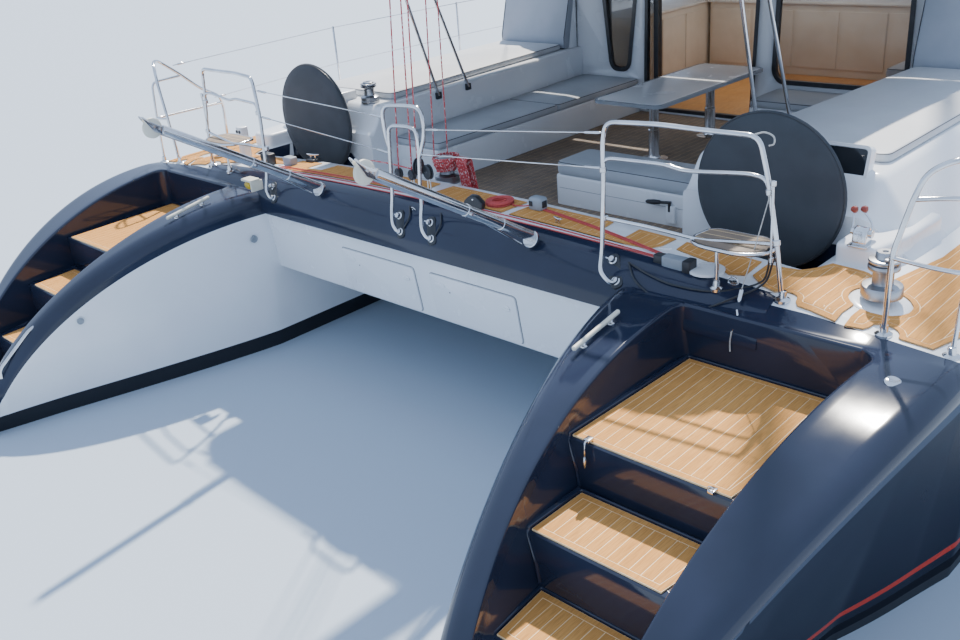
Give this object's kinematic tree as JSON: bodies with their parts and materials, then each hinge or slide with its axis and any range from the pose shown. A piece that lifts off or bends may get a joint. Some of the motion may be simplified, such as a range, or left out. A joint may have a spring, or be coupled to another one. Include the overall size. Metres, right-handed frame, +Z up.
{
  "type": "sailing catamaran",
  "caption": "Cruising sailing catamaran: two decked hulls with stepped scoop sterns, aft beam, cockpit, deckhouse, mast, boom and stays.",
  "frame": {"origin": "on the centreline, on the waterline, 7.45 m forward of the tips of the sterns", "axes": "+X to starboard, +Y forward to the bows, +Z up"},
  "size_m": [8.7, 16.4511, 22.95],
  "materials": {
    "navy_gelcoat": "polished dark blue gelcoat",
    "white_gelcoat": "white gelcoat, softly glossy",
    "teak_deck": "sanded teak planks with pale caulking",
    "grey_vinyl": "grey marine vinyl, fine grain",
    "tinted_glass": "dark tinted glass",
    "dark_canvas": "dark blue-black woven canvas",
    "stainless": "polished stainless steel",
    "winch_alloy": "grey anodised alloy",
    "spar_alloy": "satin anodised spar",
    "sail_cloth": "woven sailcloth",
    "black_net": "knotted polyester net",
    "antifouling": "matt black antifouling paint",
    "bronze": "dull bronze"
  },
  "bodies": {
    "boat": {"aft_beam": "navy_gelcoat", "awning": "dark_canvas", "backrest_port": "grey_vinyl", "backrest_starboard": "grey_vinyl", "bench_cushion_aft": "grey_vinyl", "bench_cushion_forward": "grey_vinyl", "bench_cushion_starboard": "grey_vinyl", "bench_port": "white_gelcoat", "bench_starboard": "white_gelcoat", "bowsprit": "spar_alloy", "bridgedeck": "white_gelcoat", "bulkhead_window_port": "tinted_glass", "bulkhead_window_starboard": "tinted_glass", "coachroof": "white_gelcoat", "coaming_port": "white_gelcoat", "coaming_starboard": "white_gelcoat", "coaming_winch": "winch_alloy", "cockpit_table": "white_gelcoat", "crossbeam": "spar_alloy", "davit_port": "stainless", "davit_starboard": "stainless", "deck_winch": "winch_alloy", "front_window": "tinted_glass", "furled_headsail": "sail_cloth", "guard_rail_port": "stainless", "guard_rail_starboard": "stainless", "helm_pedestal_port": "white_gelcoat", "helm_pedestal_starboard": "white_gelcoat", "hull_port": "navy_gelcoat", "hull_starboard": "navy_gelcoat", "mast": "spar_alloy", "pushpit_port": "stainless", "pushpit_starboard": "stainless", "saloon_bulkhead": "white_gelcoat", "seat_forward": "white_gelcoat", "sheet_winch": "winch_alloy", "shroud_port": "stainless", "shroud_starboard": "stainless", "side_window_port": "tinted_glass", "side_window_starboard": "tinted_glass", "stern_hoop": "stainless", "sunpad_port": "grey_vinyl", "sunpad_starboard": "grey_vinyl", "swim_steps_port": "teak_deck", "swim_steps_starboard": "teak_deck", "teak_deck_port": "teak_deck", "teak_deck_starboard": "teak_deck", "trampoline": "black_net"},
    "rudder_starboard": {"rudder_starboard": "antifouling"},
    "rudder_port": {"rudder_port": "antifouling"},
    "wheel_starboard": {"steering_wheel_starboard": "dark_canvas"},
    "wheel_port": {"steering_wheel_port": "dark_canvas"},
    "propeller_starboard": {"propeller_starboard": "bronze"},
    "propeller_port": {"propeller_port": "bronze"},
    "boom": {"boom": "spar_alloy"},
    "door_outer": {"door_leaf_outer": "tinted_glass"},
    "door_inner": {"door_leaf_inner": "tinted_glass"},
    "panel_starboard": {"access_panel_starboard": "white_gelcoat"},
    "panel_port": {"access_panel_port": "white_gelcoat"}
  },
  "joints": [
    {"name": "rudder_starboard_turn", "type": "hinge", "parent": "boat", "child": "rudder_starboard", "pos_m": [2.985, -5.92, -0.3], "axis": [0, 0, 1], "range_deg": [-35, 35]},
    {"name": "rudder_port_turn", "type": "hinge", "parent": "boat", "child": "rudder_port", "pos_m": [-2.985, -5.92, -0.3], "axis": [0, 0, 1], "range_deg": [-35, 35]},
    {"name": "wheel_starboard_turn", "type": "hinge", "parent": "boat", "child": "wheel_starboard", "pos_m": [2.537, -3.654, 2.014], "axis": [0, 1, 0], "range_deg": [-280, 280]},
    {"name": "wheel_port_turn", "type": "hinge", "parent": "boat", "child": "wheel_port", "pos_m": [-2.537, -3.654, 2.014], "axis": [0, 1, 0], "range_deg": [-280, 280]},
    {"name": "propeller_starboard_spin", "type": "hinge", "parent": "boat", "child": "propeller_starboard", "pos_m": [2.985, -3.6303, -0.84], "axis": [0, 1, 0], "continuous": true},
    {"name": "propeller_port_spin", "type": "hinge", "parent": "boat", "child": "propeller_port", "pos_m": [-2.985, -3.6303, -0.84], "axis": [0, 1, 0], "continuous": true},
    {"name": "boom_swing", "type": "hinge", "parent": "boat", "child": "boom", "pos_m": [0, 1.46, 4.65], "axis": [0, 0, 1], "range_deg": [-72, 72]},
    {"name": "door_outer_slide", "type": "slide", "parent": "boat", "child": "door_outer", "axis": [1, 0, 0], "range_m": [0, 1.3]},
    {"name": "door_inner_slide", "type": "slide", "parent": "boat", "child": "door_inner", "axis": [1, 0, 0], "range_m": [0, 0.65]},
    {"name": "panel_starboard_open", "type": "hinge", "parent": "boat", "child": "panel_starboard", "pos_m": [0.625, -4.7477, 1.262], "axis": [-1, 0, 0], "range_deg": [0, 110]},
    {"name": "panel_port_open", "type": "hinge", "parent": "boat", "child": "panel_port", "pos_m": [-0.497, -4.7477, 1.262], "axis": [-1, 0, 0], "range_deg": [0, 110]}
  ],
  "couplings": [
    {"joint": "rudder_port_turn", "follows": "rudder_starboard_turn", "ratio": 1},
    {"joint": "wheel_starboard_turn", "follows": "rudder_starboard_turn", "ratio": 8},
    {"joint": "wheel_port_turn", "follows": "rudder_starboard_turn", "ratio": 8}
  ]
}
